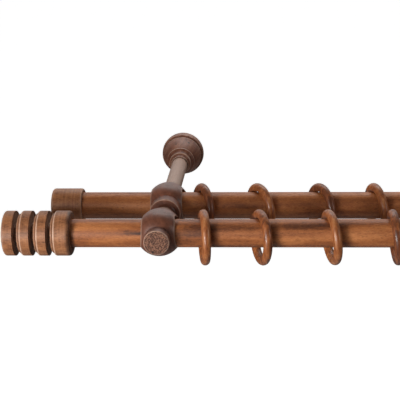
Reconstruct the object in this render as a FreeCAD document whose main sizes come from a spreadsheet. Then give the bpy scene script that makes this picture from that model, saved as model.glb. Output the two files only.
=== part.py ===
import FreeCAD, Part
import math
import os

import Sketcher

# Double curtain pole of stained turned wood, in millimetres.
# X runs along the poles, Y points into the wall and Z is up. The origin is on the wall's face,
# midway between the two hanger bolts that carry the brackets.

SIZES = {
    # poles and their places
    "pole_dia": 28.6,
    "pole_spacing": 82.6,
    "rear_pole_to_wall": 196.0,
    "bracket_span": 519.0,
    "bracket_to_finial": 88.0,
    "bracket_to_end_cap": 90.1,
    "pole_in_socket": 15.0,
    "pole_end_chamfer": 1.0,
    # rings
    "ring_outer_dia": 56.6,
    "ring_tube_dia": 9.2,
    "ring_air": 0.3,
    # sockets of the finials and the end caps
    "socket_air": 0.05,
    "mouth_dia": 31.2,
    "mouth_depth": 2.4,
    "mouth_bevel": 1.2,
    # finial
    "finial_dia": 45.4,
    "finial_length": 67.8,
    "finial_end_round": 2.2,
    "finial_mouth_round": 3.0,
    "finial_pitch": 16.85,
    "finial_last_disc": 23.2,
    "groove_width": 4.1,
    "groove_overrun": 1.0,
    "groove_core_dia": 21.0,
    "groove_bead": 2.4,
    "groove_bead_foot_dia": 38.6,
    "groove_bead_top_dia": 40.0,
    "groove_bead_bow": 1.7,
    "disc_edge": 1.7,
    "disc_edge_dia": 42.6,
    "disc_edge_bow": 2.0,
    # end cap
    "cap_dia": 37.0,
    "cap_length": 32.9,
    "cap_end_round": 3.0,
    "cap_mouth_round": 2.4,
    # heads of the bracket arm, with places measured from the axis of each pole
    "head_hole_dia": 32.0,
    "head_hole_rise": 1.0,
    "head_dia": 46.4,
    "head_front_bow": 19.0,
    "head_back": 22.0,
    "head_back_dia": 36.6,
    "head_back_bow": 56.0,
    "head_end": 4.0,
    "head_end_bow": 7.5,
    "front_shoulder": 18.9,
    "front_face": 29.2,
    "front_boss_dia": 25.8,
    "rear_shoulder": 16.6,
    "rear_face": 29.4,
    "rear_boss_dia": 32.8,
    "boss_chamfer": 0.8,
    # neck and stem of the bracket arm
    "neck_dia": 19.5,
    "neck_cove": 5.0,
    "neck_foot_dia": 22.8,
    "stem_dia": 18.0,
    "stem_cove": 7.0,
    "stem_in_rosette": 38.0,
    # wall rosette, with heights measured from the wall
    "rosette_back_dia": 46.4,
    "rosette_rim_dia": 49.2,
    "rosette_rim_back": 3.0,
    "rosette_rim_front": 11.0,
    "rosette_rim_bow": 14.0,
    "rosette_quirk_dia": 45.6,
    "rosette_quirk": 15.0,
    "rosette_quirk_height": 0.8,
    "rosette_dome_bow": 60.0,
    "rosette_neck_dia": 31.0,
    "rosette_neck": 38.5,
    "rosette_bead": 42.0,
    "rosette_bead_bow": 2.2,
    "rosette_step_dia": 25.6,
    "rosette_step_back": 46.0,
    "rosette_step": 49.0,
    "rosette_nose_dia": 20.6,
    "rosette_nose_back": 52.4,
    "rosette_nose": 55.0,
    "rosette_cove": 6.0,
    # fastenings
    "bolt_wall_dia": 8.0,
    "bolt_arm_dia": 6.0,
    "bolt_in_arm": 28.0,
    "bolt_in_wall": 60.0,
    "bolt_chamfer": 0.8,
    "bolt_point": 9.0,
    "screw_dia": 3.5,
    "screw_head_dia": 6.6,
    "screw_head_depth": 1.9,
    "screw_length": 18.0,
    "screw_point": 4.0,
    "screw_sink": 0.6,
    "screw_way_in": 1.2,
    "hole_air": 0.05,
    "hole_end_air": 0.3,
}

# Where each ring hangs: from the left bracket in mm, then its turn about the vertical and its
# lean along the pole in degrees.
RINGS = {
    "front": [
        (45.2, 9.4, 0.7),
        (102.4, 18.2, 1.3),
        (171.2, 13.8, -3.8),
        (233.8, 3.3, -6.3),
        (290.0, 14.0, 2.0),
        (350.0, -12.0, 3.0),
        (413.0, 18.0, -2.0),
        (470.0, -9.0, 1.0),
    ],
    "rear": [
        (39.0, 22.6, 2.5),
        (99.3, 28.8, -2.0),
        (164.6, 26.4, 1.0),
        (222.2, 17.5, -3.0),
        (284.0, 21.0, 1.0),
        (343.0, -14.0, -1.0),
        (404.0, 17.0, 2.0),
        (467.0, 12.0, -2.0),
    ],
}


class Length:
    # A length that carries its value and the sheet expression that it comes from.
    def __init__(self, value, text):
        self.value = float(value)
        self.text = text

    def __add__(self, other):
        other = as_length(other)
        return Length(self.value + other.value, "({} + {})".format(self.text, other.text))

    def __sub__(self, other):
        other = as_length(other)
        return Length(self.value - other.value, "({} - {})".format(self.text, other.text))

    def __truediv__(self, number):
        return Length(self.value / number, "({} / {:g})".format(self.text, number))


def as_length(amount):
    return amount if isinstance(amount, Length) else Length(amount, "{:g} mm".format(amount))


document = FreeCAD.newDocument("DoubleCurtainPole")
sheet = document.addObject("Spreadsheet::Sheet", "Sizes")
for row, (alias, number) in enumerate(SIZES.items(), start=1):
    sheet.set("A{}".format(row), alias)
    sheet.set("B{}".format(row), "{:g}".format(number))
    sheet.setAlias("B{}".format(row), alias)
document.recompute()

size = {alias: Length(number, "Sizes.{} * 1 mm".format(alias)) for alias, number in SIZES.items()}
ZERO = Length(0.0, "0 mm")

# The poles lie on the floor of the wider holes in the heads.
POLE_Z = size["head_hole_rise"] + (size["pole_dia"] - size["head_hole_dia"]) / 2
REAR_Y = ZERO - size["rear_pole_to_wall"]
FRONT_Y = REAR_Y - size["pole_spacing"]
POLE_Y = {"front": FRONT_Y, "rear": REAR_Y}
TO_MOUTH = {"front": size["bracket_to_finial"], "rear": size["bracket_to_end_cap"]}
RIGHT_X = size["bracket_span"] / 2
LEFT_X = ZERO - RIGHT_X
BRACKET_X = {"left": LEFT_X, "right": RIGHT_X}

# Turned pieces are drawn about their own Z axis and then laid along one of the part's axes.
Z_AXIS = FreeCAD.Vector(0, 0, 1)
UPRIGHT = FreeCAD.Rotation()
ALONG_X = FreeCAD.Rotation(FreeCAD.Vector(0, 1, 0), 90)
AGAINST_X = FreeCAD.Rotation(FreeCAD.Vector(0, 1, 0), -90)
INTO_WALL = FreeCAD.Rotation(FreeCAD.Vector(1, 0, 0), -90)
INTO_ROOM = FreeCAD.Rotation(FreeCAD.Vector(1, 0, 0), 90)

nodes = []


def place(feature, base, rotation):
    x, y, z = (as_length(part).value for part in base)
    feature.Placement = FreeCAD.Placement(FreeCAD.Vector(x, y, z), rotation)
    for axis, part in zip("xyz", base):
        feature.setExpression("Placement.Base." + axis, as_length(part).text)


# Sketches


def bow(radius):
    # The outline goes on to its next corner in an arc that swells outwards.
    return (radius, 1)


def dip(radius):
    # The outline goes on to its next corner in an arc that is hollowed inwards.
    return (radius, -1)


def point(corner):
    return FreeCAD.Vector(corner[0].value, corner[1].value, 0)


def arc_between(start, end, radius, side):
    # Outlines run counter-clockwise, so their outside lies to the right of the way. An arc's own
    # ends are in counter-clockwise order too, which for a hollow is against the way.
    chord = end - start
    outwards = FreeCAD.Vector(chord.y, -chord.x, 0).normalize()
    rise = radius - math.sqrt(radius ** 2 - (chord.Length / 2) ** 2)
    crown = (start + end) * 0.5 + outwards * rise * side
    return Part.Arc(start, crown, end) if side > 0 else Part.Arc(end, crown, start)


def bind(sketch, constraint, length, name):
    sketch.renameConstraint(sketch.addConstraint(constraint), name)
    sketch.setExpression("Constraints." + name, length.text)


def tie(sketch, edge, end, corner, name):
    # Fixes a vertex by its two distances from the sketch's origin.
    x, y = corner[0], corner[1]
    if x.value == 0:
        sketch.addConstraint(Sketcher.Constraint("PointOnObject", edge, end, -2))
    else:
        bind(sketch, Sketcher.Constraint("DistanceX", -1, 1, edge, end, x.value), x, name + "_x")
    if y.value == 0:
        sketch.addConstraint(Sketcher.Constraint("PointOnObject", edge, end, -1))
    else:
        bind(sketch, Sketcher.Constraint("DistanceY", -1, 1, edge, end, y.value), y, name + "_y")


def draw_outline(sketch, corners):
    # Closed outline through (x, y, way) corners. The way on is None for a straight line.
    ends = []
    for number, corner in enumerate(corners):
        following = corners[(number + 1) % len(corners)]
        start, end = point(corner), point(following)
        if corner[2] is None:
            ends.append((sketch.addGeometry(Part.LineSegment(start, end), False), 1, 2))
            continue
        radius, side = corner[2]
        edge = sketch.addGeometry(arc_between(start, end, radius.value, side), False)
        ends.append((edge, 1, 2) if side > 0 else (edge, 2, 1))
        bend = Sketcher.Constraint("Radius", edge, radius.value)
        bind(sketch, bend, radius, "bend{}".format(number))
    for number, (edge, first, last) in enumerate(ends):
        next_edge, next_first, _ = ends[(number + 1) % len(ends)]
        sketch.addConstraint(Sketcher.Constraint("Coincident", edge, last, next_edge, next_first))
        tie(sketch, edge, first, corners[number], "corner{}".format(number))


def new_sketch(body, name, role):
    sketch = body.newObject("Sketcher::SketchObject", name)
    planes = [feature for feature in body.Origin.OriginFeatures if feature.Role == role]
    sketch.AttachmentSupport = [(planes[0], "")]
    sketch.MapMode = "FlatFace"
    return sketch


# Operations


def turned_body(label, corners):
    # A body turned about its Z axis from an outline of (radius, height) corners.
    body = document.addObject("PartDesign::Body", label)
    body.Label = label
    sketch = new_sketch(body, label + "_outline", "XZ_Plane")
    draw_outline(sketch, corners)
    turning = body.newObject("PartDesign::Revolution", label + "_turning")
    turning.Profile = sketch
    turning.ReferenceAxis = (sketch, ["V_Axis"])
    turning.Angle = 360
    document.recompute()
    return body


def check_cut(body, volume_before, name):
    document.recompute()
    if body.Shape.Volume >= volume_before:
        raise ValueError(name + " cut nothing")


def turn_groove(body, name, corners):
    sketch = new_sketch(body, name + "_outline", "XZ_Plane")
    draw_outline(sketch, corners)
    volume_before = body.Shape.Volume
    groove = body.newObject("PartDesign::Groove", name)
    groove.Profile = sketch
    groove.ReferenceAxis = (sketch, ["V_Axis"])
    groove.Angle = 360
    check_cut(body, volume_before, name)
    return groove


def bore_across(body, name, heights, aside, diameter):
    # Round holes along the body's X axis at each height, a little to the side of its own axis.
    sketch = new_sketch(body, name + "_circles", "YZ_Plane")
    for number, height in enumerate(heights):
        centre = (aside, height)
        circle = Part.Circle(point(centre), Z_AXIS, diameter.value / 2)
        edge = sketch.addGeometry(circle, False)
        round_hole = Sketcher.Constraint("Diameter", edge, diameter.value)
        bind(sketch, round_hole, diameter, "hole{}".format(number))
        tie(sketch, edge, 3, centre, "hole{}".format(number))
    volume_before = body.Shape.Volume
    holes = body.newObject("PartDesign::Pocket", name)
    holes.Profile = sketch
    holes.Type = "ThroughAll"
    holes.Midplane = True
    check_cut(body, volume_before, name)
    return holes


def cut_by(label, stock, tools):
    # The stock less its tools, under the label of the finished piece.
    stock.Label = label + "_stock"
    if len(tools) == 1:
        tool = tools[0]
    else:
        tool = document.addObject("Part::MultiFuse", label + "_tools")
        tool.Shapes = tools
    finished = document.addObject("Part::Cut", label)
    finished.Base = stock
    finished.Tool = tool
    finished.Label = label
    check_cut(finished, stock.Shape.Volume, label)
    return finished


def keep(feature):
    nodes.append(feature)
    return feature


# Fastenings

SCREW_FACE_Z = size["screw_sink"] - size["head_dia"] / 2


def make_screw(label, row, bracket_x):
    # A countersunk wood screw that goes up through a head and holds the pole in it.
    shank_r = size["screw_dia"] / 2
    screw = turned_body(label, [
        (ZERO, ZERO, None),
        (size["screw_head_dia"] / 2, ZERO, None),
        (shank_r, size["screw_head_depth"], None),
        (shank_r, size["screw_length"] - size["screw_point"], None),
        (ZERO, size["screw_length"], None),
    ])
    place(screw, (bracket_x, POLE_Y[row], SCREW_FACE_Z), UPRIGHT)
    return keep(screw)


def screw_hole(label, row, bracket_x):
    # The room that a retaining screw takes: its way in from below, its head and its shank.
    air = size["hole_air"]
    shank_r = size["screw_dia"] / 2 + air
    head_r = size["screw_head_dia"] / 2 + air
    way_in = size["screw_way_in"]
    floor = way_in + size["screw_length"] + size["hole_end_air"]
    hole = turned_body(label, [
        (ZERO, ZERO, None),
        (head_r, ZERO, None),
        (head_r, way_in, None),
        (shank_r, way_in + size["screw_head_depth"], None),
        (shank_r, floor, None),
        (ZERO, floor, None),
    ])
    place(hole, (bracket_x, POLE_Y[row], SCREW_FACE_Z - way_in), UPRIGHT)
    return hole


STEM_END = size["rosette_nose"] - size["stem_in_rosette"]


def make_hanger_bolt(label, bracket_x):
    # A thinner machine end in the arm, a thicker pointed end in the wall.
    arm_r = size["bolt_arm_dia"] / 2
    wall_r = size["bolt_wall_dia"] / 2
    chamfer = size["bolt_chamfer"]
    wall_face = size["bolt_in_arm"] + STEM_END
    length = wall_face + size["bolt_in_wall"]
    bolt = turned_body(label, [
        (ZERO, ZERO, None),
        (arm_r - chamfer, ZERO, None),
        (arm_r, chamfer, None),
        (arm_r, wall_face, None),
        (wall_r, wall_face, None),
        (wall_r, length - size["bolt_point"], None),
        (ZERO, length, None),
    ])
    place(bolt, (bracket_x, ZERO - wall_face, ZERO), INTO_WALL)
    return keep(bolt)


# Poles


def make_pole(label, row):
    pole_r = size["pole_dia"] / 2
    chamfer = size["pole_end_chamfer"]
    outside = TO_MOUTH[row] + size["pole_in_socket"]
    length = size["bracket_span"] + outside + outside
    rod = turned_body(label + "_rod", [
        (ZERO, ZERO, None),
        (pole_r - chamfer, ZERO, None),
        (pole_r, chamfer, None),
        (pole_r, length - chamfer, None),
        (pole_r - chamfer, length, None),
        (ZERO, length, None),
    ])
    place(rod, (ZERO - length / 2, POLE_Y[row], POLE_Z), ALONG_X)
    pilots = [screw_hole("{}_{}_pilot".format(label, side), row, x) for side, x in BRACKET_X.items()]
    return keep(cut_by(label, rod, pilots))


# Finials and end caps


def socket_corners():
    # The hollow of a piece that is pushed over a pole, from its floor to its bevelled mouth.
    socket_r = size["pole_dia"] / 2 + size["socket_air"]
    mouth_r = size["mouth_dia"] / 2
    return [
        (ZERO, size["pole_in_socket"], None),
        (socket_r, size["pole_in_socket"], None),
        (socket_r, size["mouth_depth"], None),
        (mouth_r, size["mouth_depth"] - size["mouth_bevel"], None),
        (mouth_r, ZERO, None),
    ]


def make_finial(label, mouth_x, rotation):
    # A barrel in four discs, parted by deep grooves that have a bead on one side.
    finial_r = size["finial_dia"] / 2
    end_round = size["finial_end_round"]
    mouth_round = size["finial_mouth_round"]
    length = size["finial_length"]
    finial = turned_body(label, socket_corners() + [
        (finial_r - mouth_round, ZERO, bow(mouth_round)),
        (finial_r, mouth_round, None),
        (finial_r, length - end_round, bow(end_round)),
        (finial_r - end_round, length, None),
        (ZERO, length, None),
    ])
    core_r = size["groove_core_dia"] / 2
    foot = size["finial_last_disc"] - size["groove_width"]
    quirk = foot - size["groove_bead"]
    edge = quirk - size["disc_edge"]
    outside_r = finial_r + size["groove_overrun"]
    groove = turn_groove(finial, label + "_groove", [
        (core_r, foot, None),
        (size["groove_bead_foot_dia"] / 2, foot, dip(size["groove_bead_bow"])),
        (size["groove_bead_top_dia"] / 2, quirk, None),
        (size["disc_edge_dia"] / 2, quirk, dip(size["disc_edge_bow"])),
        (finial_r, edge, None),
        (outside_r, edge, None),
        (outside_r, size["finial_last_disc"], None),
        (core_r, size["finial_last_disc"], None),
    ])
    grooves = finial.newObject("PartDesign::LinearPattern", label + "_grooves")
    grooves.Originals = [groove]
    grooves.Direction = (groove.Profile[0], ["V_Axis"])
    grooves.Occurrences = 3
    grooves.Length = 2 * SIZES["finial_pitch"]
    grooves.setExpression("Length", "2 * Sizes.finial_pitch * 1 mm")
    volume_before = finial.Shape.Volume
    finial.Tip = grooves
    check_cut(finial, volume_before, label + "_grooves")
    place(finial, (mouth_x, POLE_Y["front"], POLE_Z), rotation)
    return keep(finial)


def make_end_cap(label, mouth_x, rotation):
    cap_r = size["cap_dia"] / 2
    end_round = size["cap_end_round"]
    mouth_round = size["cap_mouth_round"]
    length = size["cap_length"]
    cap = turned_body(label, socket_corners() + [
        (cap_r - mouth_round, ZERO, bow(mouth_round)),
        (cap_r, mouth_round, None),
        (cap_r, length - end_round, bow(end_round)),
        (cap_r - end_round, length, None),
        (ZERO, length, None),
    ])
    place(cap, (mouth_x, POLE_Y["rear"], POLE_Z), rotation)
    return keep(cap)


# Brackets


def head_outline(axis, shoulder, boss_r, face):
    # A rounded head about a pole's axis, from its back end to the face of its boss.
    back = axis - size["head_back"]
    back_r = size["head_back_dia"] / 2
    end = size["head_end"]
    chamfer = size["boss_chamfer"]
    return [
        (back_r - end, back - end, bow(size["head_end_bow"])),
        (back_r, back, bow(size["head_back_bow"])),
        (size["head_dia"] / 2, axis, bow(size["head_front_bow"])),
        (boss_r, axis + shoulder, None),
        (boss_r, axis + face - chamfer, None),
        (boss_r - chamfer, axis + face, None),
    ]


def arm_outline():
    # Heights are measured from the wall, so the outline climbs from the stem to the front face.
    rear = size["rear_pole_to_wall"]
    front = rear + size["pole_spacing"]
    back_to_axis = size["head_back"] + size["head_end"]
    bolt_r = size["bolt_arm_dia"] / 2 + size["hole_air"]
    bolt_top = STEM_END + size["bolt_in_arm"] + size["hole_end_air"]
    stem_r = size["stem_dia"] / 2
    neck_r = size["neck_dia"] / 2
    neck_start = rear + size["rear_face"]
    stem = [
        (bolt_r, STEM_END, None),
        (stem_r, STEM_END, None),
        (stem_r, rear - back_to_axis - size["stem_cove"], dip(size["stem_cove"])),
    ]
    neck = [
        (size["neck_foot_dia"] / 2, neck_start, dip(size["neck_cove"])),
        (neck_r, neck_start + size["neck_cove"], None),
        (neck_r, front - back_to_axis - size["neck_cove"], dip(size["neck_cove"])),
    ]
    rear_head = head_outline(rear, size["rear_shoulder"], size["rear_boss_dia"] / 2, size["rear_face"])
    front_head = head_outline(front, size["front_shoulder"], size["front_boss_dia"] / 2, size["front_face"])
    bolt_hole = [
        (ZERO, front + size["front_face"], None),
        (ZERO, bolt_top, None),
        (bolt_r, bolt_top, None),
    ]
    return stem + rear_head + neck + front_head + bolt_hole


def make_arm(label, bracket_x):
    # One turning: the stem, the rear head, the neck and the front head with its boss.
    rear = size["rear_pole_to_wall"]
    arm = turned_body(label + "_turned", arm_outline())
    pole_heights = [rear, rear + size["pole_spacing"]]
    bore_across(arm, label + "_pole_holes", pole_heights, size["head_hole_rise"], size["head_hole_dia"])
    place(arm, (bracket_x, ZERO, ZERO), INTO_ROOM)
    holes = [screw_hole("{}_{}_hole".format(label, row), row, bracket_x) for row in POLE_Y]
    return keep(cut_by(label, arm, holes))


def make_rosette(label, bracket_x):
    # A rounded rim, a dome and a stepped nose that takes the end of the stem.
    rim_r = size["rosette_rim_dia"] / 2
    quirk_r = size["rosette_quirk_dia"] / 2
    neck_r = size["rosette_neck_dia"] / 2
    step_r = size["rosette_step_dia"] / 2
    nose_r = size["rosette_nose_dia"] / 2
    socket_r = size["stem_dia"] / 2 + size["hole_air"]
    bolt_r = size["bolt_wall_dia"] / 2 + size["hole_air"]
    rosette = turned_body(label, [
        (bolt_r, ZERO, None),
        (size["rosette_back_dia"] / 2, ZERO, bow(size["rosette_rim_back"])),
        (rim_r, size["rosette_rim_back"], bow(size["rosette_rim_bow"])),
        (rim_r, size["rosette_rim_front"], bow(size["rosette_rim_back"])),
        (quirk_r, size["rosette_quirk"], None),
        (quirk_r, size["rosette_quirk"] + size["rosette_quirk_height"], bow(size["rosette_dome_bow"])),
        (neck_r, size["rosette_neck"], bow(size["rosette_bead_bow"])),
        (neck_r, size["rosette_bead"], dip(size["rosette_cove"])),
        (step_r, size["rosette_step_back"], None),
        (step_r, size["rosette_step"], dip(size["rosette_cove"])),
        (nose_r, size["rosette_nose_back"], None),
        (nose_r, size["rosette_nose"], None),
        (socket_r, size["rosette_nose"], None),
        (socket_r, STEM_END, None),
        (bolt_r, STEM_END, None),
    ])
    place(rosette, (bracket_x, ZERO, ZERO), INTO_ROOM)
    return keep(rosette)


# Rings

# Degrees to both sides of a ring's top within which it can touch its pole.
RESTING_ARC = 50


def resting_height(middle_y, rotation, centre_r):
    # How high a ring's middle lies above its pole's axis when the ring rests on the pole.
    reach = (SIZES["pole_dia"] + SIZES["ring_tube_dia"]) / 2 + SIZES["ring_air"]
    heights = []
    for angle in range(-RESTING_ARC, RESTING_ARC + 1):
        around = math.radians(angle)
        spoke = FreeCAD.Vector(-math.cos(around), math.sin(around), 0) * centre_r
        spoke = rotation.multVec(spoke)
        heights.append(math.sqrt(reach ** 2 - (middle_y + spoke.y) ** 2) - spoke.z)
    return max(heights)


def make_ring(label, row, along, turn, lean):
    # A plain round ring that rests on its pole, turned and leaning a little.
    centre_r = (size["ring_outer_dia"] - size["ring_tube_dia"]) / 2
    tube_r = size["ring_tube_dia"] / 2
    ring = document.addObject("Part::Torus", label)
    ring.Label = label
    ring.Radius1 = centre_r.value
    ring.Radius2 = tube_r.value
    ring.setExpression("Radius1", centre_r.text)
    ring.setExpression("Radius2", tube_r.text)
    turned = FreeCAD.Rotation(Z_AXIS, turn)
    leaning = FreeCAD.Rotation(FreeCAD.Vector(0, 1, 0), lean)
    rotation = turned * leaning * ALONG_X
    inner_r = centre_r.value - tube_r.value
    middle = rotation.multVec(FreeCAD.Vector(inner_r, 0, 0))
    middle.z = resting_height(middle.y, rotation, centre_r.value)
    on_pole = FreeCAD.Vector(LEFT_X.value + along, POLE_Y[row].value, POLE_Z.value)
    ring.Placement = FreeCAD.Placement(on_pole + middle, rotation)
    return keep(ring)


# Assembly

for row in POLE_Y:
    make_pole(row + "_pole", row)

finial_x = RIGHT_X + TO_MOUTH["front"]
end_cap_x = RIGHT_X + TO_MOUTH["rear"]
make_finial("left_finial", ZERO - finial_x, AGAINST_X)
make_finial("right_finial", finial_x, ALONG_X)
make_end_cap("left_end_cap", ZERO - end_cap_x, AGAINST_X)
make_end_cap("right_end_cap", end_cap_x, ALONG_X)

for side, bracket_x in BRACKET_X.items():
    make_arm(side + "_bracket_arm", bracket_x)
    make_rosette(side + "_wall_rosette", bracket_x)
    make_hanger_bolt(side + "_hanger_bolt", bracket_x)
    for row in POLE_Y:
        make_screw("{}_{}_pole_screw".format(side, row), row, bracket_x)

for row, rings in RINGS.items():
    for number, (along, turn, lean) in enumerate(rings, start=1):
        make_ring("{}_ring_{}".format(row, number), row, along, turn, lean)

document.recompute()

for feature in document.Objects:
    if "Invalid" in feature.State or "Error" in feature.State:
        raise RuntimeError(feature.Label + " failed: " + str(feature.State))

os.makedirs("parts", exist_ok=True)
for feature in nodes:
    if feature.Shape.isNull() or not feature.Shape.isValid():
        raise RuntimeError(feature.Label + " has no valid shape")
    feature.Shape.exportStep(os.path.join("parts", feature.Label + ".step"))
    solids = len(feature.Shape.Solids)
    print("{:26s} {} solid {:10.0f} mm3".format(feature.Label, solids, feature.Shape.Volume))
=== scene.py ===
import math

import bmesh
import bpy
import numpy as np
from mathutils import Matrix, Vector


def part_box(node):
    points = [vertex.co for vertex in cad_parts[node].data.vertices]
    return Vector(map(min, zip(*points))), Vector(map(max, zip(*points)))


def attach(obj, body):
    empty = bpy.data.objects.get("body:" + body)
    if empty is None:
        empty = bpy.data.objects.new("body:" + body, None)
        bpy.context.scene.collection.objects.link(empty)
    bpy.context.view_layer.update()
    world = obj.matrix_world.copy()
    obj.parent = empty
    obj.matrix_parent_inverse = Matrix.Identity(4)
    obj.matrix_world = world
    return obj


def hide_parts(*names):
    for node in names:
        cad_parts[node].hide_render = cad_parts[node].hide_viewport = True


# Double curtain pole in stained, lacquered beech. X runs along the poles, Y points into the wall, Z is up.

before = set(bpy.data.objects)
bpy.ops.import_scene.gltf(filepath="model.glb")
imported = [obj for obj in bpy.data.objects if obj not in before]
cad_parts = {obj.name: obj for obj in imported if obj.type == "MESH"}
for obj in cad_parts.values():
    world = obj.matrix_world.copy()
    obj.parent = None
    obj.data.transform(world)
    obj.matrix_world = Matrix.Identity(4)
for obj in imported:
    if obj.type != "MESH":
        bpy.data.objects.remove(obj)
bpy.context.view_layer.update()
mm = 0.001
quarter = math.pi / 2
weldReach = 0.002 * mm      # points of a made mesh that lie closer than this become one
ringNodes = sorted(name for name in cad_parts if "_ring_" in name)
print("frame loaded,", len(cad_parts), "nodes")


# small helpers


def colour(hexText):
    # sRGB hex to linear RGBA
    channels = [int(hexText[i:i + 2], 16) / 255 for i in (1, 3, 5)]
    linear = [c / 12.92 if c <= 0.04045 else ((c + 0.055) / 1.055) ** 2.4 for c in channels]
    return (*linear, 1.0)


def addNode(tree, kind, inputs=None, **settings):
    # adds one node; an input takes a plain value or another node's output
    node = tree.nodes.new(kind)
    for name, value in settings.items():
        setattr(node, name, value)
    for name, value in (inputs or {}).items():
        if isinstance(value, bpy.types.NodeSocket):
            tree.links.new(value, node.inputs[name])
        else:
            node.inputs[name].default_value = value
    return node


def setStops(ramp, stops):
    # stops are (position, linear RGBA or grey level), in order
    elements = ramp.color_ramp.elements
    stops = list(stops)
    while len(elements) < len(stops):
        elements.new(1.0)
    for element, (position, value) in zip(elements, stops):
        element.position = position
        element.color = value if isinstance(value, tuple) else (value, value, value, 1.0)


def dress(node, material):
    # gives a CAD node its finish
    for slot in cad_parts[node].material_slots:
        slot.material = material


def makerTree(name, sizes):
    # an empty Geometry Nodes tree with named inputs: name -> (socket kind, value)
    tree = bpy.data.node_groups.new(name, "GeometryNodeTree")
    tree.interface.new_socket(name="Geometry", in_out="INPUT", socket_type="NodeSocketGeometry")
    for label, (kind, value) in sizes.items():
        tree.interface.new_socket(name=label, in_out="INPUT", socket_type=kind).default_value = value
    tree.interface.new_socket(name="Geometry", in_out="OUTPUT", socket_type="NodeSocketGeometry")
    return tree


def finishTree(tree, geometry, material):
    # every maker ends in real geometry with its material on it
    real = addNode(tree, "GeometryNodeRealizeInstances", {"Geometry": geometry})
    painted = addNode(tree, "GeometryNodeSetMaterial", {"Geometry": real.outputs[0], "Material": material})
    addNode(tree, "NodeGroupOutput", {"Geometry": painted.outputs[0]})


def runMaker(tree, name, values, place):
    # evaluates a maker once and returns the result as a plain object with its place in its mesh
    seedMesh = bpy.data.meshes.new(name + "_start")
    carrier = bpy.data.objects.new(name + "_start", seedMesh)
    bpy.context.scene.collection.objects.link(carrier)
    modifier = carrier.modifiers.new("maker", "NODES")
    modifier.node_group = tree
    for item in tree.interface.items_tree:
        if item.in_out == "INPUT" and item.name in values:
            modifier[item.identifier] = values[item.name]
    bpy.context.view_layer.update()
    evaluated = carrier.evaluated_get(bpy.context.evaluated_depsgraph_get())
    mesh = bpy.data.meshes.new_from_object(evaluated)
    bpy.data.objects.remove(carrier)
    bpy.data.meshes.remove(seedMesh)
    mesh.name = name
    mesh.transform(place)
    outwards = bmesh.new()
    outwards.from_mesh(mesh)
    bmesh.ops.remove_doubles(outwards, verts=outwards.verts, dist=weldReach)
    bmesh.ops.recalc_face_normals(outwards, faces=outwards.faces)
    outwards.to_mesh(mesh)
    outwards.free()
    piece = bpy.data.objects.new(name, mesh)
    bpy.context.scene.collection.objects.link(piece)
    return piece


# stained beech

stains = {
    # walnut stain on turned beech; from where it gathered to where it was rubbed thin
    "pole": ("#371B0D", "#6E3D20", "#9E5C30", "#C27C48"),
    "finial": ("#3C2114", "#704328", "#9C653F", "#BA7F54"),
    "bracket": ("#2F1A10", "#57301F", "#7E4C37", "#A07056"),
    "ring": ("#3A1D0F", "#6E3B20", "#9E5B30", "#C08252"),
}
stainStops = (0.1, 0.36, 0.58, 0.86)
pore = colour("#22120A")
gathered = colour("#3A1E11")    # darker edges and corners; painted shade in the finial's quirks and where the arm's neck meets the rear boss face
wearAndPaintedLight = colour("#D2AF98")        # pale: edges where the stain has rubbed off under the lacquer, and painted highlights and painted light on edges, beads, groove floors, the arm's stem and its neck

grainSizes = {
    # length, width and depth in mm
    "stray": (120.0, 40.0, 40.0),
    "fibres": (55.0, 1.6, 1.6),
    "flecks": (6.0, 2.2, 2.2),         # beech rays, drawn a little coarse
    "speckle": (2.6, 1.1, 1.1),
    "endDots": (1.5, 1.5, 1.5),        # vessels seen end on, really 0.1 mm, drawn coarser to show at all
    "toolMarks": (0.9, 60.0, 60.0),
    "patchWobble": (22.0, 7.0, 7.0),
    "edgeCloud": (7.0, 7.0, 7.0),
}
poreLength = 4.0
waveUnit = 0.314                # a wave texture of this scale repeats every unit
woodRules = {
    "endGrain": (0.72, 0.98),       # how squarely a surface faces along the grain, where end grain starts and is full
    "endFade": 2.0,                 # mm over which end grain sets in at its place on the axis
    "dotLevels": (0.44, 0.6),       # noise between which a dot on end grain forms
    "poreLevels": (0.6, 0.7),       # noise between which a pore opens
    "patchSway": (30.0, 0.0, 5.0),  # mm by which a patch's outline strays
    "patchFade": (1.1, 0.2),        # shares of a patch's half size where it starts and is full
    "bandFade": 3.0,                # mm over which a pale band sets in, either way
    "bandMix": (0.6, 0.8),          # share of a band that is even, and that follows the fibres
    "edgeCloud": 1.5,                 # how far the pale and dark edge marks cover their edges, before clouds thin them
    "edgeFull": 0.25,               # share of an edge's reach within which its shade is full
    "boreRim": (1.5, 0.2, 0.45),    # where the rubbed rim of a bore starts and is full, in mm, and its shade
    "knotFull": 0.3,                # share of a knot's radius within which it is darkest
    "knotShade": 0.9,
    "poreSink": 0.6,                # depth of a pore against the height of a fibre
    "fibreGloss": 0.16,             # spread of roughness from fibre to fibre
    "poreGloss": 0.12,
    "endGloss": 0.15,
}

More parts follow.
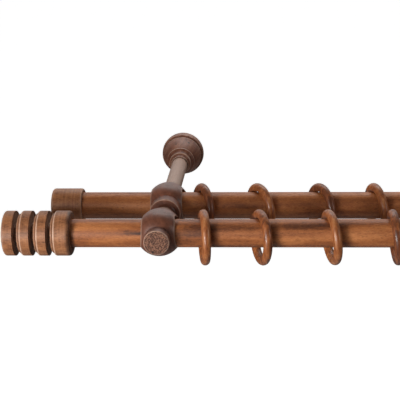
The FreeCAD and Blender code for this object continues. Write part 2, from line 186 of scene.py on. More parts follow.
woodDefaults = {
    "stain": "pole",
    "lightness": 0.0,
    "turn": (0.0, 0.0, 0.0),       # turns the piece's own axis onto X
    "origin": (0.0, 0.0, 0.0),     # then moves it there, in mm
    "spot": (0.0, 50.0, 20.0),     # place in the log, in mm from the pith
    "wander": 12.0,                # how far the grain strays, in mm
    "yearWidth": 7.0,
    "yearContrast": 0.16,
    "broad": (140.0, 8.0, 8.0),    # length, width and depth of the cloudy streaks, in mm
    "broadContrast": 1.2,
    "fibreContrast": 0.5,
    "fleckContrast": 0.25,
    "speckleContrast": 0.2,
    "poreWidth": 0.8,              # the pores of beech are finer, these are drawn coarse enough to show
    "poreDark": 0.35,
    "endDark": 0.25,
    "endDots": 0.75,
    "endAxis": 0,                  # the object's axis along which the grain runs
    "endFrom": None,               # end grain shows beyond this place on the axis only
    "toolStep": 1.4,
    "toolDepth": 0.0,
    "toolTone": 0.0,
    "relief": 0.3,
    "reliefDepth": 0.12,           # in mm
    "roughness": 0.42,
    "coat": 0.15,
    "coatRoughness": 0.3,
    "edges": (),                   # (along, radius, reach, shade) of circles about the axis: + paler, rubbed wear and painted highlights, - darker, partly painted shade
    "patches": (),                 # (x, z, half length, half height, shade) on a pole, in mm
    "bores": (),                   # (along, z, radius) of cross holes with rubbed rims
    "knots": (),                   # (x, y, z, radius) of small dark knots
    "bands": (),                   # (from, to, amount) along the axis made paler; on the arm this is partly painted light
}


def stainedBeech(name, changes):
    # Beech, turned, wiped with walnut stain and sealed with satin lacquer: it gives the eye lengthwise
    # streaks, short flecks, dots on end grain, pale rubbed edges, painted highlights and painted light on edges and
    # bands, painted shade in corners and a soft sheen that greys the top.
    look = {**woodDefaults, **changes}
    deep, brown, warm, honey = (colour(text) for text in stains[look["stain"]])
    material = bpy.data.materials.new("stainedBeech_" + name)
    material.use_nodes = True
    tree = material.node_tree
    tree.nodes.clear()

    def node(kind, inputs=None, **settings):
        return addNode(tree, kind, inputs, **settings)

    def reckon(operation, first, second=0.0, third=0.0, clamp=False):
        terms = {0: first, 1: second, 2: third}
        return node("ShaderNodeMath", terms, operation=operation, use_clamp=clamp).outputs[0]

    def vector(operation, first, second=(0.0, 0.0, 0.0), output=0):
        return node("ShaderNodeVectorMath", {0: first, 1: second}, operation=operation).outputs[output]

    def fade(value, start, end):
        # 0 at start, 1 at end, eased
        ends = {"Value": value, "From Min": start, "From Max": end}
        return node("ShaderNodeMapRange", ends, interpolation_type="SMOOTHSTEP").outputs[0]

    def blend(amount, first, second):
        return node("ShaderNodeMix", {0: amount, 6: first, 7: second}, data_type="RGBA").outputs[2]

    if look["stain"] == "ring":
        # rings carry their own coordinates in mm: axis, width and height in the board they were turned from
        own = node("ShaderNodeAttribute", attribute_name="woodPlace").outputs["Vector"]
        onAxis = node("ShaderNodeMapping", {"Vector": own, "Rotation": (0.0, 0.0, quarter)}).outputs[0]
    else:
        own = node("ShaderNodeTexCoord").outputs["Object"]
        onAxis = node("ShaderNodeMapping", {
            "Vector": own, "Location": look["origin"], "Rotation": look["turn"], "Scale": (1 / mm,) * 3,
        }).outputs[0]
    inLog = vector("ADD", onAxis, look["spot"])

    def noise(lengths, detail=3.0, roughness=0.5, place=None):
        # a pattern whose spots have the given length, width and depth in mm
        sized = vector("MULTIPLY", place or inLog, [1 / length for length in lengths])
        return node("ShaderNodeTexNoise", {"Vector": sized, "Scale": 1.0, "Detail": detail, "Roughness": roughness})

    # the grain wanders by a few millimetres
    stray = vector("SUBTRACT", noise(grainSizes["stray"], 2.0).outputs["Color"], (0.5, 0.5, 0.5))
    stray = vector("MULTIPLY", stray, (0.0, look["wander"], look["wander"]))
    grain = vector("ADD", inLog, stray)

    # growth rings about the pith, which runs along X
    years = node("ShaderNodeTexWave", {
        "Vector": grain, "Scale": waveUnit / look["yearWidth"], "Distortion": 1.5, "Detail": 2.0, "Detail Scale": 0.02,
    }, wave_type="RINGS", rings_direction="X", wave_profile="SIN").outputs["Fac"]
    broad = noise(look["broad"], 3.0, 0.55, grain).outputs["Fac"]
    fibres = noise(grainSizes["fibres"], 4.0, 0.6, grain).outputs["Fac"]
    speckle = noise(grainSizes["speckle"], 2.0, 0.7).outputs["Fac"]
    flecks = noise(grainSizes["flecks"], 3.0, 0.6).outputs["Fac"]
    pores = noise((poreLength, look["poreWidth"], look["poreWidth"]), 1.0).outputs["Fac"]

    tone = reckon("MULTIPLY_ADD", broad, look["broadContrast"], 0.5 + look["lightness"] - look["broadContrast"] / 2)
    for pattern, contrast in (
        (years, "yearContrast"), (fibres, "fibreContrast"), (flecks, "fleckContrast"), (speckle, "speckleContrast"),
    ):
        centred = reckon("SUBTRACT", pattern, 0.5)
        tone = reckon("MULTIPLY_ADD", centred, look[contrast], tone)
    if look["patches"]:
        wobble = vector("SUBTRACT", noise(grainSizes["patchWobble"], 3.0, 0.6).outputs["Color"], (0.5, 0.5, 0.5))
        wavy = vector("ADD", onAxis, vector("MULTIPLY", wobble, woodRules["patchSway"]))
    for x, z, halfLength, halfHeight, shade in look["patches"]:
        away = vector("MULTIPLY", vector("ADD", wavy, (-x, 0.0, -z)), (1 / halfLength, 0.0, 1 / halfHeight))
        inside = fade(vector("LENGTH", away, output=1), *woodRules["patchFade"])
        tone = reckon("MULTIPLY_ADD", inside, shade, tone)

    parts = node("ShaderNodeSeparateXYZ", {0: onAxis}).outputs
    radius = vector("LENGTH", vector("MULTIPLY", onAxis, (0.0, 1.0, 1.0)), output=1)
    if look["toolTone"]:
        lathe = noise(grainSizes["toolMarks"], 2.0, 0.6, onAxis).outputs["Fac"]
        tone = reckon("MULTIPLY_ADD", reckon("SUBTRACT", lathe, 0.5), look["toolTone"], tone)

    ramp = node("ShaderNodeValToRGB", {"Fac": tone})
    setStops(ramp, zip(stainStops, (deep, brown, warm, honey)))
    base = ramp.outputs["Color"]

    # end grain drinks more stain and shows its pores as dots
    if look["stain"] == "ring":
        outwards = vector("NORMALIZE", vector("MULTIPLY", own, (0.0, 1.0, 1.0)))
        core = node("ShaderNodeVectorMath", {0: outwards, 3: look["coreRadius"]}, operation="SCALE").outputs[0]
        facing = vector("NORMALIZE", vector("SUBTRACT", own, core))
        endOn = reckon("ABSOLUTE", node("ShaderNodeSeparateXYZ", {0: facing}).outputs[1])
    else:
        facing = node("ShaderNodeTexCoord").outputs["Normal"]
        endOn = reckon("ABSOLUTE", node("ShaderNodeSeparateXYZ", {0: facing}).outputs[look["endAxis"]])
    endOn = fade(endOn, *woodRules["endGrain"])
    if look["endFrom"]:
        endOn = reckon("MULTIPLY", endOn, fade(parts[0], look["endFrom"] - woodRules["endFade"], look["endFrom"]))
    poreMask = fade(pores, *woodRules["poreLevels"])
    poreAmount = reckon("MULTIPLY", poreMask, reckon("MULTIPLY_ADD", endOn, look["poreDark"], look["poreDark"]))
    dots = noise(grainSizes["endDots"], 3.0, 0.75, onAxis).outputs["Fac"]
    dotted = blend(fade(dots, *woodRules["dotLevels"]), deep, honey)
    base = blend(reckon("MULTIPLY", endOn, look["endDots"]), base, dotted)
    base = blend(reckon("MULTIPLY", endOn, look["endDark"]), base, deep)
    base = blend(poreAmount, base, pore)

    # pale bands; on the arm's stem partly and on its neck wholly painted light
    soft = woodRules["bandFade"]
    even, streaked = woodRules["bandMix"]
    for start, end, amount in look["bands"]:
        inside = reckon("MULTIPLY", fade(parts[0], start - soft, start + soft), fade(parts[0], end + soft, end - soft))
        streaky = reckon("MULTIPLY_ADD", fibres, amount * streaked, amount * even)
        base = blend(reckon("MULTIPLY", inside, streaky), base, wearAndPaintedLight)

    # pale and dark rings about the axis: rubbed wear and painted highlights on edges, darkening in corners that is
    # partly painted shade
    clouds = noise(grainSizes["edgeCloud"], 3.0, 0.6).outputs["Fac"]
    patchy = reckon("MULTIPLY", clouds, woodRules["edgeCloud"], clamp=True)
    onProfile = node("ShaderNodeCombineXYZ", {0: parts[0], 1: radius}).outputs[0] if look["edges"] else None
    for along, edgeRadius, reach, shade in look["edges"]:
        gap = vector("DISTANCE", onProfile, (along, edgeRadius, 0.0), output=1)
        amount = reckon("MULTIPLY", fade(gap, reach, reach * woodRules["edgeFull"]), abs(shade))
        base = blend(reckon("MULTIPLY", amount, patchy), base, wearAndPaintedLight if shade > 0 else gathered)
    start, full, shade = woodRules["boreRim"]
    for along, z, boreRadius in look["bores"]:
        away = vector("ADD", onAxis, (-along, 0.0, -z))
        gap = vector("LENGTH", vector("MULTIPLY", away, (1.0, 0.0, 1.0)), output=1)
        rim = reckon("MULTIPLY", fade(gap, boreRadius + start, boreRadius + full), shade)
        base = blend(reckon("MULTIPLY", rim, patchy), base, wearAndPaintedLight)
    for x, y, z, knotRadius in look["knots"]:
        gap = vector("DISTANCE", onAxis, (x, y, z), output=1)
        dark = reckon("MULTIPLY", fade(gap, knotRadius, knotRadius * woodRules["knotFull"]), woodRules["knotShade"])
        base = blend(dark, base, pore)

    # relief: open pores, raised fibres and the fine lines of the turning tool
    lines = node("ShaderNodeTexWave", {
        "Vector": onAxis, "Scale": waveUnit / look["toolStep"], "Distortion": 0.5, "Detail": 1.0, "Detail Scale": 1.0,
    }, wave_type="BANDS", bands_direction="X", wave_profile="SIN").outputs["Fac"]
    height = reckon("MULTIPLY_ADD", poreMask, -woodRules["poreSink"], fibres)
    height = reckon("MULTIPLY_ADD", lines, look["toolDepth"], height)
    bump = node("ShaderNodeBump", {
        "Strength": look["relief"], "Distance": look["reliefDepth"] * mm, "Height": height,
    }).outputs[0]
    spread = woodRules["fibreGloss"]
    gloss = reckon("MULTIPLY_ADD", fibres, spread, look["roughness"] - spread / 2)
    gloss = reckon("MULTIPLY_ADD", poreMask, woodRules["poreGloss"], gloss)
    gloss = reckon("MULTIPLY_ADD", endOn, woodRules["endGloss"], gloss, clamp=True)

    shader = node("ShaderNodeBsdfPrincipled", {
        "Base Color": base, "Roughness": gloss, "IOR": 1.48, "Specular IOR Level": 0.4, "Coat Weight": look["coat"],
        "Coat Roughness": look["coatRoughness"], "Coat IOR": 1.45, "Normal": bump,
    })
    node("ShaderNodeOutputMaterial", {"Surface": shader.outputs[0]})
    return material


platingLook = {
    # sizes in mm
    "cloudSize": 4.0, "relief": 0.2, "reliefDepth": 0.05,
    "tints": ((0.3, "#8E9399"), (0.7, "#C4C7C6")), "roughness": (0.26, 0.44),
}


def zincSteel(name):
    # Mild steel, cold formed and bright zinc plated: a cool grey metal with a faint cloudy bloom.
    material = bpy.data.materials.new(name)
    material.use_nodes = True
    tree = material.node_tree
    tree.nodes.clear()
    place = addNode(tree, "ShaderNodeTexCoord").outputs["Object"]
    scale = 1 / (platingLook["cloudSize"] * mm)
    cloud = addNode(tree, "ShaderNodeTexNoise", {"Vector": place, "Scale": scale, "Detail": 4.0}).outputs["Fac"]
    tint = addNode(tree, "ShaderNodeValToRGB", {"Fac": cloud})
    setStops(tint, [(position, colour(text)) for position, text in platingLook["tints"]])
    smoothest, roughest = platingLook["roughness"]
    gloss = addNode(tree, "ShaderNodeMapRange", {"Value": cloud, "To Min": smoothest, "To Max": roughest})
    bump = addNode(tree, "ShaderNodeBump", {
        "Strength": platingLook["relief"], "Distance": platingLook["reliefDepth"] * mm, "Height": cloud,
    })
    shader = addNode(tree, "ShaderNodeBsdfPrincipled", {
        "Base Color": tint.outputs["Color"], "Metallic": 1.0, "Roughness": gloss.outputs[0], "Normal": bump.outputs[0],
    })
    addNode(tree, "ShaderNodeOutputMaterial", {"Surface": shader.outputs[0]})
    return material


# poles

axisRise = 0.7              # the object's origin lies this far above the poles' axes, in mm
poleLook = {
    "frontPole": {
        "origin": (0.0, 278.6, axisRise), "spot": (0.0, 48.0, 30.0), "lightness": 0.06,
        # the patch at x -330 lightens the left end as painted light from the key lamp on the left; the others darken
        # the upper half and lighten the lower half in places
        "patches": (
            (-270, 4.6, 24, 2.2, -0.34), (-276, 6.5, 32, 4.5, -0.24), (-330, 10, 30, 5, 0.1), (-306, -4, 34, 7, 0.2),
            (-222, 4, 24, 12, -0.2), (-196, 9, 50, 5, -0.2), (-205, -5, 30, 5, 0.14), (-130, -4, 26, 5, 0.18),
            (-112, 11, 40, 4, -0.2), (-60, -1, 30, 6, 0.2), (60, 9, 60, 5, -0.25), (190, 8, 50, 5, -0.3),
            (320, -4, 40, 5, 0.14),
        ),
    },
    "rearPole": {
        "origin": (0.0, 196.0, axisRise), "spot": (400.0, -36.0, 44.0), "lightness": 0.13,
        "patches": ((-300, 4, 40, 5, 0.12), (-190, 4, 30, 6, -0.16), (-90, 2, 50, 5, -0.12), (120, 2, 60, 5, -0.15)),
    },
}
for row in ("front", "rear"):
    look = {
        **poleLook[row + "Pole"], "broadContrast": 0.75, "fibreContrast": 0.22, "speckleContrast": 0.4,
        "yearContrast": 0.08, "roughness": 0.56, "coat": 0.14,
    }
    dress(row + "_pole", stainedBeech(row + "Pole", look))
print("poles done")

# finials and end caps; along runs outwards from the mouth

mouths = {"finial": (347.5, 278.6), "end_cap": (349.6, 196.0)}      # along the pole and out from the wall, in mm
groovePitch = 16.85
grooveMarks = (
    # the disc's edge paled as a painted highlight, painted shade in the quirk behind it, the bead's lip paled as a
    # painted highlight and the floor paled as painted light, at the first groove
    (15.3, 22.4, 1.0, 0.9), (17.0, 20.0, 1.3, -0.85), (19.3, 20.0, 0.8, 0.5), (21.1, 13.5, 9.5, 0.55),
)
finialLook = {
    "stain": "finial", "lightness": 0.03, "spot": (0.0, 20.0, 26.0), "yearContrast": 0.06, "broad": (22.0, 9.0, 9.0),
    "broadContrast": 0.6, "fibreContrast": 0.14, "speckleContrast": 0.45, "toolDepth": 0.8, "toolTone": 0.35,
    "endDark": 0.4, "roughness": 0.58,
    "edges": (
        (1.0, 21.6, 4.2, -0.85), (66.8, 21.6, 2.0, 0.45),
        *((along + groovePitch * groove, *mark) for along, *mark in grooveMarks for groove in range(3)),
    ),
}
capLook = {
    "stain": "finial", "lightness": 0.08, "spot": (30.0, -18.0, 30.0), "yearContrast": 0.05, "broad": (22.0, 9.0, 9.0),
    "broadContrast": 0.5, "fibreContrast": 0.06, "speckleContrast": 0.3, "toolDepth": 0.8, "toolTone": 0.4,
    "endDark": 0.4, "roughness": 0.52,
    "edges": ((1.0, 17.4, 2.0, 0.25), (31.6, 17.4, 2.4, 0.35)),
}
sides = {
    # the turn that lays the piece's outward way along X, and the sign of its place
    "left": ((0.0, 0.0, math.pi), -1),
    "right": ((0.0, 0.0, 0.0), 1),
}
for side, (turn, sign) in sides.items():
    for kind, changes in (("finial", finialLook), ("end_cap", capLook)):
        mouthX, out = mouths[kind]
        look = {**changes, "turn": turn, "origin": (-mouthX, sign * out, axisRise)}
        dress("{}_{}".format(side, kind), stainedBeech("{}_{}".format(side, kind), look))
print("finials and end caps done")

# brackets; along runs from the wall into the room

bracketX = 259.5
armLook = {
    "stain": "bracket", "lightness": -0.06, "spot": (0.0, 34.0, 18.0), "yearWidth": 5.0, "broad": (60.0, 9.0, 9.0),
    "broadContrast": 0.3, "yearContrast": 0.04, "fibreContrast": 0.12, "fleckContrast": 0.1, "speckleContrast": 0.12,
    "poreWidth": 1.3, "poreDark": 0.3, "toolDepth": 0.5, "toolTone": 0.1, "roughness": 0.5, "coat": 0.28,
    "endDark": 0.0, "endAxis": 1, "endFrom": 304.0,
    # the stem paler, partly pale wood and partly a painted sheen of the top light; the neck paler as painted light
    "bands": ((56.0, 165.0, 0.46), (230.0, 256.0, 0.5)),
    "edges": (
        # the front boss's rubbed rim, darker where that boss meets the head, the rear boss face's rim paled as a
        # painted highlight, painted shade where the neck meets that face, darker round the stem at 169 and 17 mm
        (307.8, 12.9, 1.2, 0.95), (297.5, 12.9, 1.6, -0.5), (225.4, 16.4, 1.2, 0.8), (225.4, 11.4, 4.0, -0.5),
        (169.0, 10.0, 3.0, -0.3), (17.0, 9.0, 3.0, -0.4),
    ),
    "bores": ((278.6, 1.0, 16.0), (196.0, 1.0, 16.0)),
    "knots": ((307.8, -3.6, -9.6, 1.9),),
}
rosetteLook = {
    "stain": "bracket", "lightness": 0.1, "spot": (40.0, -30.0, 22.0), "yearWidth": 5.0, "broad": (14.0, 12.0, 12.0),
    "broadContrast": 0.5, "yearContrast": 0.1, "fibreContrast": 0.12, "fleckContrast": 0.15,
    "poreWidth": 1.2, "poreDark": 0.3, "toolDepth": 0.8, "toolTone": 0.4, "roughness": 0.5, "endAxis": 1,
    "edges": (
        # the pale rings are painted highlights on the rim, the ridge and the nose's beads; the dark rings darken the
        # quirk and the steps between them
        (11.0, 24.6, 1.5, 0.6), (15.4, 22.8, 1.4, -0.35), (16.6, 22.6, 1.0, 0.5), (40.2, 16.2, 1.3, 0.85),
        (45.4, 12.8, 1.6, -0.5), (49.0, 12.8, 1.0, 0.85), (52.2, 10.3, 1.2, -0.4), (55.0, 10.3, 0.9, 0.7),
    ),
    "knots": ((26.0, 9.0, 19.0, 2.0), (30.0, -6.0, 18.0, 1.6)),
}
for side, (turn, sign) in sides.items():
    for kind, changes in (("bracket_arm", armLook), ("wall_rosette", rosetteLook)):
        look = {**changes, "turn": (0.0, 0.0, quarter), "origin": (0.0, -sign * bracketX, 0.0)}
        dress("{}_{}".format(side, kind), stainedBeech("{}_{}".format(side, kind), look))
print("brackets done")

# rings

ringSizes = {"outerDiameter": 56.6, "tubeDiameter": 9.2, "around": 144, "across": 36, "waver": 0.12, "waverScale": 0.06}
ringLook = {
    "stain": "ring", "yearWidth": 4.5, "broad": (50.0, 5.0, 5.0), "broadContrast": 0.7, "yearContrast": 0.1,
    "wander": 5.0, "fleckContrast": 0.12, "endDark": 0.15, "endDots": 0.1, "relief": 0.05, "poreDark": 0.12,
    "poreWidth": 1.0, "roughness": 0.44, "coat": 0.3, "coatRoughness": 0.16,
    "coreRadius": (ringSizes["outerDiameter"] - ringSizes["tubeDiameter"]) / 2,
}


def makeRingTree(finish):
    # a tube swept round a circle, sanded a little unevenly by hand, that remembers its place in mm
    tree = makerTree("curtainRing", {
        "Outer Diameter": ("NodeSocketFloat", ringSizes["outerDiameter"] * mm),
        "Tube Diameter": ("NodeSocketFloat", ringSizes["tubeDiameter"] * mm),
        "Around": ("NodeSocketInt", ringSizes["around"]),
        "Across": ("NodeSocketInt", ringSizes["across"]),
        "Waver": ("NodeSocketFloat", ringSizes["waver"] * mm),
        "Seed": ("NodeSocketFloat", 0.0),
        "Finish": ("NodeSocketMaterial", finish),
    })
    sizes = addNode(tree, "NodeGroupInput").outputs

    def reckon(operation, first, second):
        return addNode(tree, "ShaderNodeMath", {0: first, 1: second}, operation=operation).outputs[0]

    def circle(resolution, radius):
        sizing = {"Resolution": resolution, "Radius": radius}
        return addNode(tree, "GeometryNodeCurvePrimitiveCircle", sizing).outputs["Curve"]

    coreDiameter = reckon("SUBTRACT", sizes["Outer Diameter"], sizes["Tube Diameter"])
    core = circle(sizes["Around"], reckon("MULTIPLY", coreDiameter, 0.5))
    tube = circle(sizes["Across"], reckon("MULTIPLY", sizes["Tube Diameter"], 0.5))
    ring = addNode(tree, "GeometryNodeCurveToMesh", {"Curve": core, "Profile Curve": tube})
    # lay the circle in the YZ plane, so that the ring's axis is X
    upright = addNode(tree, "GeometryNodeTransform", {"Geometry": ring.outputs[0], "Rotation": (0.0, quarter, 0.0)})
    place = addNode(tree, "GeometryNodeInputPosition").outputs[0]
    inMm = addNode(tree, "ShaderNodeVectorMath", {0: place, 3: 1 / mm}, operation="SCALE").outputs[0]
    marked = addNode(tree, "GeometryNodeStoreNamedAttribute", {
        "Geometry": upright.outputs[0], "Name": "woodPlace", "Value": inMm,
    }, data_type="FLOAT_VECTOR", domain="POINT")
    uneven = addNode(tree, "ShaderNodeTexNoise", {
        "Vector": inMm, "W": sizes["Seed"], "Scale": ringSizes["waverScale"], "Detail": 1.0,
    }, noise_dimensions="4D")
    inwards = reckon("MULTIPLY", reckon("MULTIPLY", uneven.outputs["Fac"], sizes["Waver"]), -1.0)
    normal = addNode(tree, "GeometryNodeInputNormal").outputs[0]
    push = addNode(tree, "ShaderNodeVectorMath", {0: normal, 3: inwards}, operation="SCALE").outputs[0]
    sanded = addNode(tree, "GeometryNodeSetPosition", {"Geometry": marked.outputs[0], "Offset": push})
    smooth = addNode(tree, "GeometryNodeSetShadeSmooth", {"Geometry": sanded.outputs[0]})
    finishTree(tree, smooth.outputs[0], sizes["Finish"])
    return tree


def ringPlace(node, spin):
    # where the CAD ring lies: its middle, and a frame whose X is its axis and whose grain is turned by spin
    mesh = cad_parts[node].data
    points = np.empty(len(mesh.vertices) * 3)
    mesh.vertices.foreach_get("co", points)
    points = points.reshape(-1, 3)
    middle = (points.min(axis=0) + points.max(axis=0)) / 2
    axis = Vector(np.linalg.svd(points - points.mean(axis=0), full_matrices=False)[2][2])
    if axis.x < 0:
        axis.negate()
    wide = axis.cross(Vector((0.0, 0.0, 1.0))).normalized()
    turned = Matrix((axis, wide, axis.cross(wide))).transposed().to_4x4()
    return Matrix.Translation(Vector(middle)) @ turned @ Matrix.Rotation(spin, 4, "X")


ringTones = {
    # lightness of the stain and place in the log
    "tan": (0.1, (0.0, 40.0, 20.0)),
    "brown": (-0.1, (60.0, -30.0, 25.0)),
    "russet": (0.0, (120.0, 25.0, -30.0)),
}
ringFinishes = {
    tone: stainedBeech("ring_" + tone, {**ringLook, "lightness": lightness, "spot": spot})
    for tone, (lightness, spot) in ringTones.items()
}
toneOf = {
    "front_ring_1": "tan", "front_ring_2": "russet", "front_ring_3": "tan", "front_ring_4": "brown",
    "rear_ring_1": "brown", "rear_ring_2": "tan", "rear_ring_3": "brown", "rear_ring_4": "tan",
}
ringTree = makeRingTree(ringFinishes["tan"])
for number, node in enumerate(ringNodes):
    # the grain lies upright, give or take 15 degrees
    spin = quarter + math.radians(47 * number % 31 - 15)
    tone = toneOf.get(node, list(ringTones)[number % 3])
    values = {"Seed": float(number), "Finish": ringFinishes[tone]}
    ring = runMaker(ringTree, node + "_turned", values, ringPlace(node, spin))
    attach(ring, node)
    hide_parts(node)
print("rings done,", len(ringNodes))

# fastenings: hanger bolts into the wall, countersunk screws up into the poles

tipCore = 0.4           # share of the radius that the thread leaves at the tip
crestSlope = 4.4        # how steeply a crest falls to its root, in crest heights a pitch
crossSlot = {"halfWidth": 0.625, "halfLength": 2.0}      # in mm
faceReach = 0.001       # mm of height that still counts as a screw head's face
threadLook = {
    # outline: (place along the mesh, share of the radius, share of the length); pitch, depth, from and recess in mm
    "bolt": {
        "outline": (
            (0.0, 0.0, 0.0), (0.01, 0.66, 0.0), (0.016, 0.75, 0.006), (0.42, 0.75, 0.4286), (0.43, 1.0, 0.4286),
            (0.915, 1.0, 0.914), (1.0, 0.0, 1.0),
        ),
        "rows": 400, "around": 32, "pitch": 3.2, "depth": 1.0, "from": 50.0, "recess": 0.0,
    },
    "screw": {
        "outline": ((0.0, 0.0, 0.0), (0.15, 1.0, 0.0), (0.26, 0.53, 0.1056), (0.8, 0.53, 0.7778), (1.0, 0.0, 1.0)),
        "rows": 150, "around": 40, "pitch": 1.4, "depth": 0.5, "from": 5.0, "recess": 1.0,
    },
}


def makeThreadTree(kind, finish):
    # a grid rolled round the Z axis, with its radius and height read along an outline and a thread cut in
    look = threadLook[kind]
    tree = makerTree(kind + "Thread", {
        "Radius": ("NodeSocketFloat", 4.0),
        "Length": ("NodeSocketFloat", 100.0),
        "Pitch": ("NodeSocketFloat", look["pitch"]),
        "Depth": ("NodeSocketFloat", look["depth"]),
        "Thread From": ("NodeSocketFloat", look["from"]),
        "Recess": ("NodeSocketFloat", look["recess"]),
        "Rows": ("NodeSocketInt", look["rows"]),
        "Around": ("NodeSocketInt", look["around"]),
        "Finish": ("NodeSocketMaterial", finish),
    })
    sizes = addNode(tree, "NodeGroupInput").outputs

    def reckon(operation, first, second=0.0, third=0.0, clamp=False):
        terms = {0: first, 1: second, 2: third}
        return addNode(tree, "ShaderNodeMath", terms, operation=operation, use_clamp=clamp).outputs[0]

    def readOutline(place, column):
        curve = addNode(tree, "ShaderNodeFloatCurve", {"Value": place})
        points = curve.mapping.curves[0].points
        points[0].location = (0.0, look["outline"][0][column])
        points[1].location = (1.0, look["outline"][-1][column])
        for corner in look["outline"][1:-1]:
            points.new(corner[0], corner[column])
        for point in points:
            point.handle_type = "VECTOR"
        curve.mapping.update()
        return curve.outputs[0]

    grid = addNode(tree, "GeometryNodeMeshGrid", {
        "Size X": 1.0, "Size Y": 1.0, "Vertices X": sizes["Around"], "Vertices Y": sizes["Rows"],
    })
    flat = addNode(tree, "ShaderNodeSeparateXYZ", {0: addNode(tree, "GeometryNodeInputPosition").outputs[0]}).outputs
    round01 = reckon("ADD", flat[0], 0.5)
    along01 = reckon("ADD", flat[1], 0.5)
    angle = reckon("MULTIPLY", round01, 2 * math.pi)
    outer = reckon("MULTIPLY", readOutline(along01, 1), sizes["Radius"])
    height = reckon("MULTIPLY", readOutline(along01, 2), sizes["Length"])
    # the thread: a narrow crest that climbs one pitch a turn
    turns = reckon("FRACT", reckon("SUBTRACT", reckon("DIVIDE", height, sizes["Pitch"]), round01))
    crest = reckon("MULTIPLY_ADD", reckon("ABSOLUTE", reckon("SUBTRACT", turns, 0.5)), -crestSlope, 1.0, clamp=True)
    threaded = reckon("GREATER_THAN", height, sizes["Thread From"])
    cut = reckon("MULTIPLY", reckon("MULTIPLY", reckon("SUBTRACT", 1.0, crest), threaded), sizes["Depth"])
    radius = reckon("MAXIMUM", reckon("SUBTRACT", outer, cut), reckon("MULTIPLY", outer, tipCore))
    x = reckon("MULTIPLY", radius, reckon("COSINE", angle))
    y = reckon("MULTIPLY", radius, reckon("SINE", angle))
    # the cross recess in a screw's head: two crossing slots with sloping sides
    arms = []
    for across, lengthwise in ((x, y), (y, x)):
        narrow = reckon("MULTIPLY_ADD", reckon("ABSOLUTE", across), -1 / crossSlot["halfWidth"], 1.0)
        short = reckon("MULTIPLY_ADD", reckon("ABSOLUTE", lengthwise), -1 / crossSlot["halfLength"], 1.0)
        arms.append(reckon("MINIMUM", narrow, short))
    sunk = reckon("MULTIPLY", reckon("MAXIMUM", arms[0], arms[1], clamp=True), sizes["Recess"])
    onFace = reckon("LESS_THAN", height, faceReach)
    z = reckon("MULTIPLY_ADD", sunk, onFace, height)
    place = addNode(tree, "ShaderNodeCombineXYZ", {0: x, 1: y, 2: z}).outputs[0]
    place = addNode(tree, "ShaderNodeVectorMath", {0: place, 3: mm}, operation="SCALE").outputs[0]
    rolled = addNode(tree, "GeometryNodeSetPosition", {"Geometry": grid.outputs["Mesh"], "Position": place})
    finishTree(tree, rolled.outputs[0], sizes["Finish"])
    return tree


plating = zincSteel("zincPlatedSteel")
threadTrees = {kind: makeThreadTree(kind, plating) for kind in threadLook}
for node in sorted(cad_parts):
    kind = node.rsplit("_", 1)[-1]
    if kind not in threadTrees:
        continue
    low, high = (Vector(corner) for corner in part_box(node))
    middle = (low + high) / 2
    radius = (high.x - low.x) / 2
    if kind == "bolt":
        # the maker's Z axis is laid along Y, into the wall
        place = Matrix.Translation((middle.x, low.y, middle.z)) @ Matrix.Rotation(-quarter, 4, "X")
        length = high.y - low.y
    else:
        place = Matrix.Translation((middle.x, middle.y, low.z))
        length = high.z - low.z
    piece = runMaker(threadTrees[kind], node + "_threaded", {"Radius": radius / mm, "Length": length / mm}, place)
    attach(piece, "pole_set")
    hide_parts(node)
print("fastenings done")

# floor, lamps and camera

studio = {
    "floorDrop": 1.5,        # below the origin, in metres
    "floorSize": 24.0,
    "floorColour": "#DADADA",
    "floorWhite": 0.96,      # glow to the camera; the light that falls on the floor makes the rest
    "worldLight": 0.06,      # what matt wood gets from all round
    "roomGlow": 0.05,        # what gloss sees on the viewer's side, where there is no white backdrop
    "backdropWay": (0.0, 0.87, 0.5),
    "backdropEdge": (0.6, 0.95),        # cosine of the angle to that way, where the backdrop starts and is full
    "lampTarget": (-0.15, -0.25, 0.0),
    "matt": ("backFill",),   # lamps that gloss doesn't see
    "lamps": {
        # azimuth from the way to the viewer towards the right, elevation, distance, width, height, watts
        "keySoftbox": (-39, 11, 1.3, 0.45, 0.2, 8),
        "lowSoftbox": (-36, 0.5, 1.3, 0.45, 0.1, 8),
        "stripLight": (-20, 12, 1.5, 0.07, 1.0, 2.4),
        "sideSoftbox": (71, 20, 1.3, 0.25, 0.5, 2.4),
        "topSoftbox": (180, 48, 1.5, 1.1, 0.6, 5.5),
        "backFill": (180, 38, 1.5, 1.1, 0.5, 10),
    },
}


def buildFloor():
    size = studio["floorSize"] / 2
    mesh = bpy.data.meshes.new("floor")
    corners = [(x * size, y * size, -studio["floorDrop"]) for x, y in ((-1, -1), (1, -1), (1, 1), (-1, 1))]
    mesh.from_pydata(corners, [], [(0, 1, 2, 3)])
    floor = bpy.data.objects.new("floor", mesh)
    bpy.context.scene.collection.objects.link(floor)
    material = bpy.data.materials.new("paleFloor")
    material.use_nodes = True
    tree = material.node_tree
    tree.nodes.clear()
    paths = addNode(tree, "ShaderNodeLightPath").outputs
    matt = addNode(tree, "ShaderNodeBsdfDiffuse", {"Color": colour(studio["floorColour"])})
    seen = addNode(tree, "ShaderNodeMath", {0: paths["Is Camera Ray"], 1: studio["floorWhite"]}, operation="MULTIPLY")
    glow = addNode(tree, "ShaderNodeEmission", {"Color": (1.0, 1.0, 1.0, 1.0), "Strength": seen.outputs[0]})
    both = addNode(tree, "ShaderNodeAddShader", {0: matt.outputs[0], 1: glow.outputs[0]})
    addNode(tree, "ShaderNodeOutputMaterial", {"Surface": both.outputs[0]})
    mesh.materials.append(material)


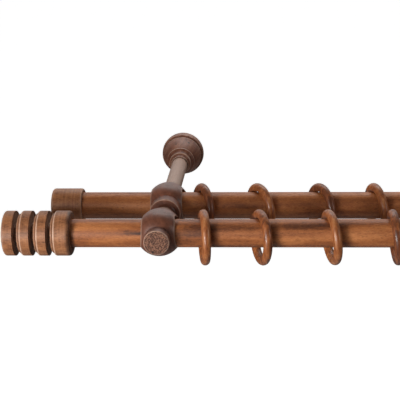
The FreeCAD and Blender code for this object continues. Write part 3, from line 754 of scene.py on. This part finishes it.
def buildWorld():
    world = bpy.data.worlds.new("whiteStudio")
    bpy.context.scene.world = world
    world.use_nodes = True
    tree = world.node_tree
    tree.nodes.clear()
    paths = addNode(tree, "ShaderNodeLightPath").outputs
    way = addNode(tree, "ShaderNodeTexCoord").outputs["Generated"]
    # the white backdrop stands behind and above the object; gloss sees it there and the dimmer room in front
    behind = addNode(tree, "ShaderNodeVectorMath", {0: way, 1: studio["backdropWay"]}, operation="DOT_PRODUCT")
    start, full = studio["backdropEdge"]
    shine = addNode(tree, "ShaderNodeMapRange", {
        "Value": behind.outputs["Value"], "From Min": start, "From Max": full, "To Min": studio["roomGlow"],
    }).outputs[0]
    shine = addNode(tree, "ShaderNodeMath", {0: shine, 1: paths["Is Glossy Ray"]}, operation="MULTIPLY").outputs[0]
    for amount in (paths["Is Camera Ray"], paths["Is Transmission Ray"], studio["worldLight"]):
        shine = addNode(tree, "ShaderNodeMath", {0: shine, 1: amount}, operation="MAXIMUM").outputs[0]
    sky = addNode(tree, "ShaderNodeBackground", {"Color": (1.0, 1.0, 1.0, 1.0), "Strength": shine})
    addNode(tree, "ShaderNodeOutputWorld", {"Surface": sky.outputs[0]})


def buildLamps():
    target = Vector(studio["lampTarget"])
    for name, (azimuth, elevation, distance, width, height, watts) in studio["lamps"].items():
        around, up = math.radians(azimuth), math.radians(elevation)
        way = Vector((math.sin(around) * math.cos(up), -math.cos(around) * math.cos(up), math.sin(up)))
        lamp = bpy.data.lights.new(name, "AREA")
        lamp.shape = "RECTANGLE"
        lamp.size = width
        lamp.size_y = height
        lamp.energy = watts
        holder = bpy.data.objects.new(name, lamp)
        facing = way.to_track_quat("Z", "Y").to_matrix().to_4x4()
        holder.matrix_world = Matrix.Translation(target + way * distance) @ facing
        holder.visible_camera = False
        holder.visible_glossy = name not in studio["matt"]
        bpy.context.scene.collection.objects.link(holder)


view = {
    # place in metres, angles in degrees, lens and sensor in mm; the shift moves the framing sideways
    "place": (-0.128, -1.345, 0.4105), "turn": 2.64, "tilt": 19.402, "roll": -0.93,
    "lens": 102.8, "sensor": 36.0, "shift": -0.102, "near": 0.05, "far": 60.0,
}


def buildCamera():
    data = bpy.data.cameras.new("camera")
    data.lens = view["lens"]
    data.shift_x = view["shift"]
    data.sensor_width = view["sensor"]
    data.clip_start = view["near"]
    data.clip_end = view["far"]
    camera = bpy.data.objects.new("camera", data)
    turn = Matrix.Rotation(math.radians(view["turn"]), 4, "Z")
    tilt = Matrix.Rotation(math.radians(90 - view["tilt"]), 4, "X")
    roll = Matrix.Rotation(math.radians(view["roll"]), 4, "Z")
    camera.matrix_world = Matrix.Translation(view["place"]) @ turn @ tilt @ roll
    bpy.context.scene.collection.objects.link(camera)
    bpy.context.scene.camera = camera


buildFloor()
buildWorld()
buildLamps()
buildCamera()
bpy.context.scene.view_settings.view_transform = "Standard"
print("stage done")
